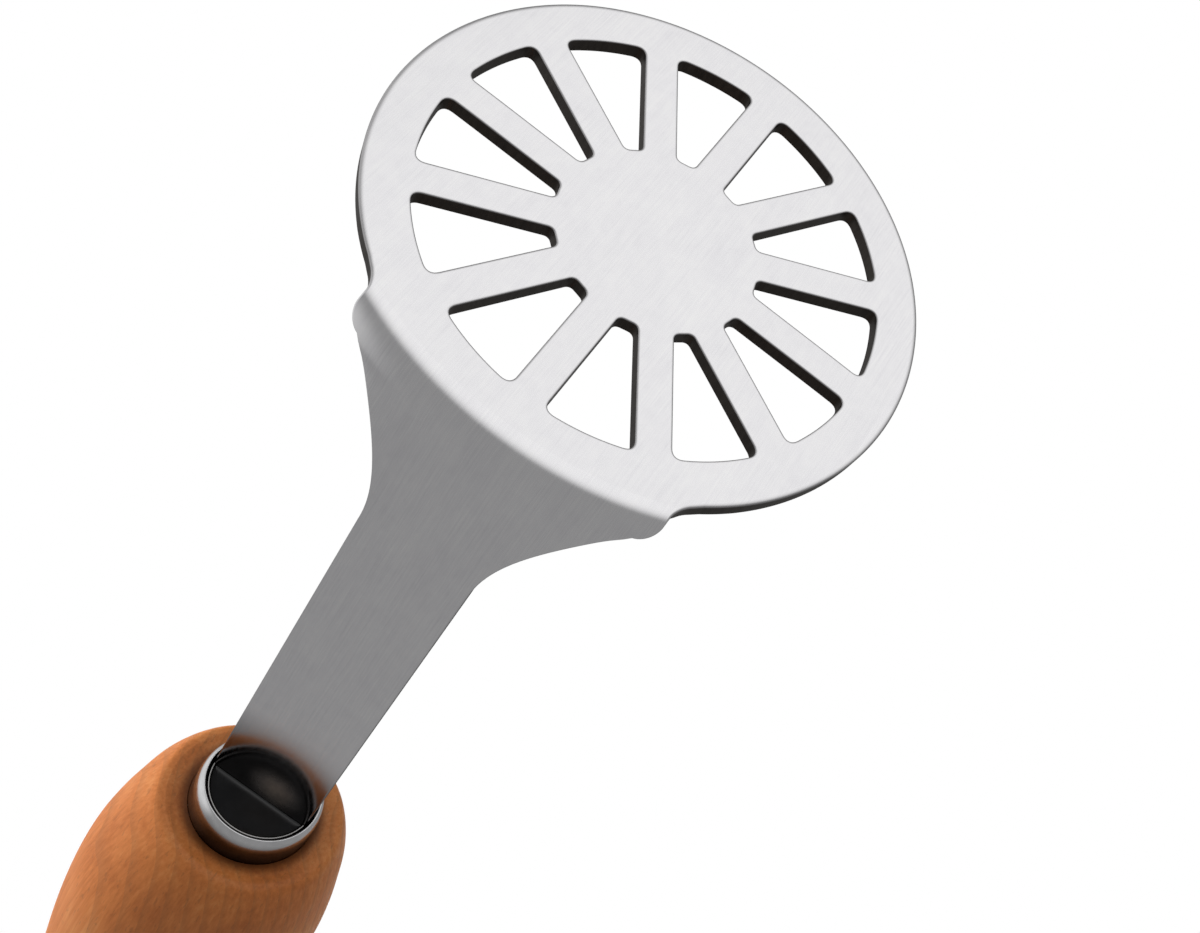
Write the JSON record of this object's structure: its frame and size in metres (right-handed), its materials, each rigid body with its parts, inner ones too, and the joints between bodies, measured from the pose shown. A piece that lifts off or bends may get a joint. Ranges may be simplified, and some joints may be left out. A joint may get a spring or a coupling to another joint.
{
  "type": "potato masher",
  "caption": "Rigid masher: a round steel disc with wedge-shaped radial slots, turned up at one edge into a flared neck and flat stem, with a steel ferrule in a turned wooden handle.",
  "frame": {"origin": "centre of the hub on the disc's flat working (mashing) face", "axes": "+Z from the working face towards the handle, square to the disc; the stem rises from the disc's -Y edge and leans towards -Y; +X across the stem; the part mirrors about the YZ plane"},
  "size_m": [0.085, 0.1568, 0.2044],
  "materials": {
    "brushed_blade_steel": "fine satin grain, brighter on the working face",
    "polished_ferrule_steel": "polished",
    "ring_steel": "polished edge",
    "black_resin": "smooth glossy black casting resin",
    "varnished_hardwood": "clear varnish, orange-brown beech"
  },
  "bodies": {
    "root": {"masher_blade": "brushed_blade_steel", "ferrule": "polished_ferrule_steel", "mouth_ring": "ring_steel", "potting_resin": "black_resin", "handle": "varnished_hardwood"}
  },
  "joints": []
}
